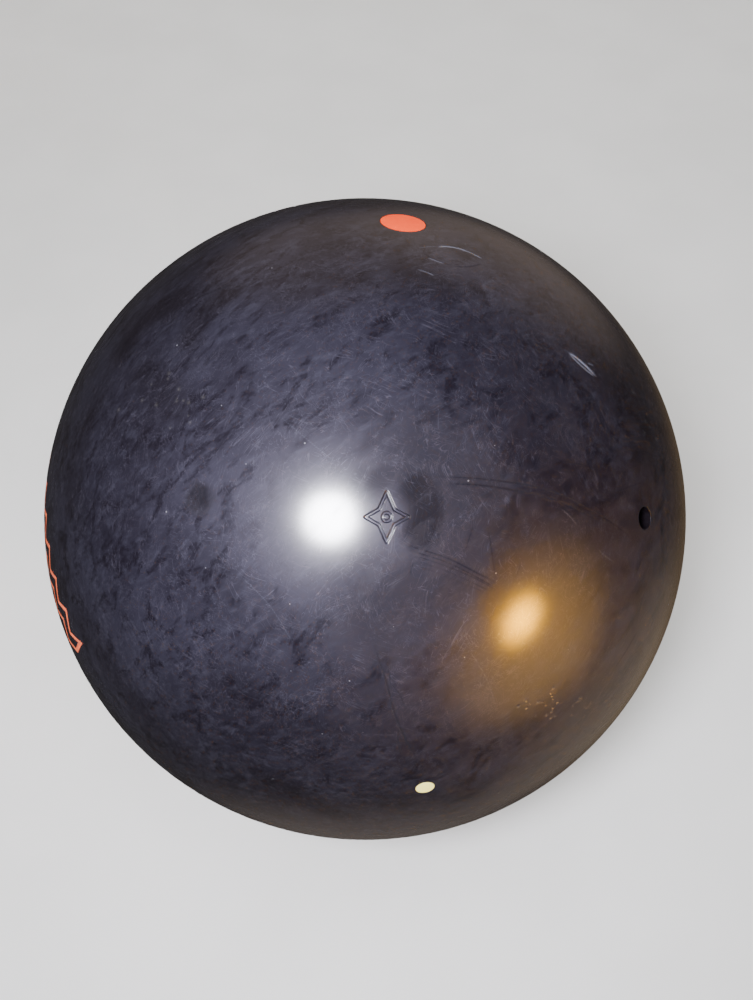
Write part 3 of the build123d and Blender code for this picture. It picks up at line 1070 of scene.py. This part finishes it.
def pin_material(name, bright, deep, seam_dirt_and_shade):
    """Cast resin, sanded like the cover, with dirt and painted shade in the seam round it."""
    made = Material(name, IOR=1.5, Coat_Weight=0.25, Coat_Roughness=0.2)
    cloud = made.scaled(made.noise(5, 4.0, 0.6), 0.35, 0.65)
    colour = made.mix(cloud, bright, deep)
    lines = made.largest(made.hairlines(50, 12, 0.12, 0.02), made.hairlines(140, 9, 0.12, 0.05))
    colour = made.mix(made.times(lines, 0.25), colour, deep)
    # The seam round the pin is darkened: dirt, and painted shade where the rounded edges meet
    colour = made.mix(made.scaled(made.attribute("rim"), 0.55, 0.95), colour, seam_dirt_and_shade)
    roughness = made.scaled(cloud, 0, 1, 0.38, 0.48, smooth=False)
    return made.finished(colour, roughness, made.math("SUBTRACT", made.noise(1.2, 3.0), lines), 0.006)


def paint_material():
    """Thick paint with brush marks, darker towards its edges."""
    made = Material("inlay_orange", IOR=1.48, Coat_Weight=0.2, Coat_Roughness=0.25)
    cloud = made.scaled(made.noise(3.0, 5.0, 0.65), 0.3, 0.7)
    colour = made.mix(cloud, (1.0, 0.20, 0.07), (0.72, 0.12, 0.04))
    # Darker towards the edges of the groove
    colour = made.mix(made.scaled(made.attribute("rim"), 0.3, 1.0, 0.0, 0.85), colour, (0.20, 0.02, 0.01))
    roughness = made.scaled(cloud, 0, 1, 0.4, 0.55, smooth=False)
    return made.finished(colour, roughness, made.noise(0.9, 4.0, 0.6), 0.03)


def sleeve_material(name, base, worn, roughness):
    """Moulded plastic, with fine turning marks and worn patches scattered at random."""
    made = Material(name, IOR=1.48)
    cloud = made.scaled(made.noise(9, 5.0, 0.6), 0.3, 0.7)
    colour = made.mix(cloud, base, worn)
    lines = made.largest(made.hairlines(10, 14, 0.16, 0.03), made.hairlines(75, 10, 0.16, 0.06))
    colour = made.mix(made.times(lines, 0.4), colour, tuple(2.2 * c for c in worn))
    # The sleeve's edge and outer wall are darkened: dirt, and painted shade in the seam with the cover
    colour = made.mix(made.times(made.attribute("rim"), 0.6), colour, (0.008, 0.007, 0.007))
    roughness = made.scaled(cloud, 0, 1, roughness - 0.07, roughness + 0.07, smooth=False)
    return made.finished(colour, roughness, made.math("SUBTRACT", made.noise(0.7, 4.0, 0.7), lines), 0.012)


def casting_material(name, light, dark, grain_size, roughness):
    """A rough casting inside the ball, with grit of that size in it."""
    made = Material(name)
    cloud = made.scaled(made.noise(18, 6.0, 0.6), 0.3, 0.7)
    grit = made.cells(grain_size)["Distance"]
    spots = made.scaled(grit, 0.1, 0.45, 0.6, 0.0)
    colour = made.mix(spots, made.mix(cloud, light, dark), tuple(0.55 * c for c in dark))
    roughness = made.scaled(cloud, 0, 1, roughness - 0.1, roughness + 0.1, smooth=False)
    return made.finished(colour, roughness, made.math("ADD", made.noise(1.5, 5.0, 0.7), grit), 0.08)


def dress(node, material):
    """Gives its material to a CAD node that stays."""
    piece = frame["nodes"][node]
    for place in piece.material_slots:
        place.link = "OBJECT"
        place.material = material


build_cover(cover_material())
build_pin(
    "locating_pin_resin", "locating_pin", locating_pin_hole, LOCATING_PIN_FOOT, "orange_resin",
    pin_material("pin_orange", (1.0, 0.07, 0.002), (0.95, 0.06, 0.002), (0.10, 0.008, 0.004)),
)
build_pin(
    "mass_bias_pin_resin", "mass_bias_pin", mass_bias_pin_hole, MASS_BIAS_PIN_FOOT, "yellow_resin",
    pin_material("pin_yellow", (0.97, 0.95, 0.30), (0.95, 0.90, 0.24), (0.10, 0.07, 0.02)),
)
build_inlay(paint_material())
build_thumb_slug(sleeve_material("sleeve_urethane", (0.022, 0.022, 0.026), (0.035, 0.034, 0.038), 0.45))
grip_vinyl = sleeve_material("grip_vinyl", (0.035, 0.036, 0.042), (0.05, 0.05, 0.056), 0.52)
for node, hole in finger_holes.items():
    build_finger_insert(node, hole, grip_vinyl)
castings = {
    "filler_core": ("filler_casting", (0.55, 0.52, 0.45), (0.40, 0.37, 0.31), 2.2, 0.7),
    "weight_block": ("weight_block_casting", (0.50, 0.12, 0.10), (0.34, 0.07, 0.06), 1.6, 0.6),
    "flip_block": ("flip_block_casting", (0.12, 0.20, 0.45), (0.07, 0.12, 0.30), 1.6, 0.6),
}
for node, casting in castings.items():
    dress(node, casting_material(*casting))


# ---------------------------------------------------------------- camera, lights and floor

CAMERA_PLACE = LABEL * 2.6 * BALL_RADIUS * MM
SENSOR_WIDTH = 36
FOCAL_LENGTH = 27.73
CAMERA_SHIFT = (0.0115, 0.019)


def pointed(place, out, up):
    """A matrix at place whose +Z is out and whose +Y is as near to up as it can be."""
    z = unit(np.array(out, float))
    x = unit(np.cross(up, z))
    matrix = Matrix(np.column_stack([x, np.cross(z, x), z])).to_4x4()
    matrix.translation = Vector(place)
    return matrix


camera = add_object("camera", bpy.data.cameras.new("camera"))
camera.matrix_world = pointed(CAMERA_PLACE, LABEL, TOP)
camera.data.sensor_width = SENSOR_WIDTH
camera.data.lens = FOCAL_LENGTH
camera.data.shift_x, camera.data.shift_y = CAMERA_SHIFT
camera.data.clip_start = 0.01
bpy.context.scene.camera = camera


def seen_at(*place):
    """The direction that the ball mirrors to the camera at a (tilt, turn) place."""
    out = direction(*place)
    to_camera = unit(CAMERA_PLACE - out * BALL_RADIUS * MM)
    return 2 * (to_camera @ out) * out - to_camera


def mirrored(place, distance):
    """Where a light has to be for the ball to mirror it to the camera at a place, and that place."""
    out = direction(*place)
    point = out * BALL_RADIUS * MM
    return point + distance * seen_at(*place), point


def area_light(name, place, target, size, power, colour, shape="RECTANGLE", up=TOP, mirrored_by_ball=True):
    """A light of that width and height at place, which shines towards target."""
    data = bpy.data.lights.new(name, "AREA")
    data.shape = shape
    data.size, data.size_y = size
    data.energy = power
    data.color = colour
    light = add_object(name, data)
    light.matrix_world = pointed(place, place - target, up)
    light.visible_glossy = mirrored_by_ball
    return data


area_light("flash", *mirrored((4.2, 178.4), 0.20), (0.064, 0.062), 2.1, (0.93, 0.93, 1.0), "ELLIPSE")
lamp_up = unit(RIGHT * 0.45 + TOP)
lamp = area_light(
    "warm_lamp", *mirrored((24.1, -32.8), 0.9), (0.17, 0.27), 0.112, (1.0, 0.43, 0.001), "ELLIPSE", lamp_up
)
lamp.spread = radians(18)

# A wide soft light from over the camera's shoulder, and one that evens out the floor behind the ball
SOFT_WHITE = (1.0, 0.99, 0.98)
overhead_place = (LABEL + 0.3 * TOP) * 0.9
area_light("overhead", overhead_place, np.zeros(3), (1.2, 1.2), 11.5, SOFT_WHITE, mirrored_by_ball=False)
backdrop_place = np.array([0.0, 0.75, 0.6])
backdrop_foot = backdrop_place * (1, 1, 0)
area_light("backdrop", backdrop_place, backdrop_foot, (1.6, 0.6), 5.0, SOFT_WHITE, mirrored_by_ball=False)

# Soft glows of the room: which way each lies, the cosine at which it starts, and its colour at the middle
GLOWS = [
    (seen_at(20, 140), 0.45, (0.10, 0.09, 0.10)),
    (seen_at(40, 97), 0.84, (0.29, 0.225, 0.175)),
    (seen_at(46, 62), 0.84, (0.33, 0.255, 0.20)),
    (seen_at(27, -36), 0.84, (2.15, 1.25, 0.38)),
    (seen_at(50, -36), 0.86, (0.30, 0.24, 0.18)),
    (seen_at(64, -8), 0.88, (0.11, 0.07, 0.03)),
    (seen_at(54, -88), 0.88, (0.17, 0.14, 0.12)),
]


def build_room():
    """A dim room all round: brown up to the horizon and a cool grey above, with its glows."""
    world = bpy.data.worlds.new("room")
    world.use_nodes = True
    made = Nodes(world.node_tree)
    heading = made.node("ShaderNodeTexCoord", {}).outputs["Generated"]
    height = made.node("ShaderNodeSeparateXYZ", {0: heading}).outputs["Z"]
    ramp = made.node("ShaderNodeValToRGB", {"Fac": made.scaled(height, -1, 1, smooth=False)})
    stops = [
        (0.0, (0.042, 0.038, 0.036)),
        (0.36, (0.046, 0.041, 0.038)),
        (0.50, (0.040, 0.033, 0.030)),
        (0.60, (0.030, 0.026, 0.026)),
        (1.0, (0.022, 0.022, 0.026)),
    ]
    while len(ramp.color_ramp.elements) < len(stops):
        ramp.color_ramp.elements.new(0.5)
    for element, (place, colour) in zip(ramp.color_ramp.elements, stops):
        element.position = place
        element.color = (*colour, 1.0)
    colour = ramp.outputs["Color"]
    for towards, start, glow in GLOWS:
        share = made.scaled(made.vector_math("DOT_PRODUCT", heading, towards), start, 1)
        colour = made.mix(share, colour, glow, "ADD")
    made.put(colour, made.tree.nodes["Background"].inputs["Color"])
    world.cycles.sampling_method = "NONE"
    bpy.context.scene.world = world


build_room()


FLOOR_RADIUS = 1.6
SWEEP_RADIUS = 0.9
WALL_TOP = 3.2
FLOOR_SIDES = 96


def build_floor():
    """A round pale floor that sweeps up into a wall."""
    profile = [(radius, 0.0) for radius in (0.0, 0.3, 0.8, FLOOR_RADIUS)]
    for angle in np.radians(np.arange(7.5, 91, 7.5)):
        profile.append((FLOOR_RADIUS + SWEEP_RADIUS * sin(angle), SWEEP_RADIUS * (1 - cos(angle))))
    profile.append((FLOOR_RADIUS + SWEEP_RADIUS, WALL_TOP))
    angles = np.arange(FLOOR_SIDES) * 2 * pi / FLOOR_SIDES
    points, faces = [], []
    for radius, height in profile:
        points += [(radius * cos(a), radius * sin(a), height - BALL_RADIUS * MM) for a in angles]
    for row in range(0, len(points) - FLOOR_SIDES, FLOOR_SIDES):
        for i in range(FLOOR_SIDES):
            j = (i + 1) % FLOOR_SIDES
            faces.append((row + i, row + j, row + FLOOR_SIDES + j, row + FLOOR_SIDES + i))
    mesh = bpy.data.meshes.new("floor")
    mesh.from_pydata(points, [], faces)
    mesh.shade_smooth()
    floor = add_object("floor", mesh)
    made = Material("floor_paint", Roughness=0.9)
    cloud = made.scaled(made.noise(60, 4.0, 0.5), 0.3, 0.7)
    paint = made.mix(cloud, (0.86, 0.86, 0.85), (0.90, 0.90, 0.89))
    made.put(paint, made.shader.inputs["Base Color"])
    mesh.materials.append(made.material)
    floor.visible_glossy = False


build_floor()
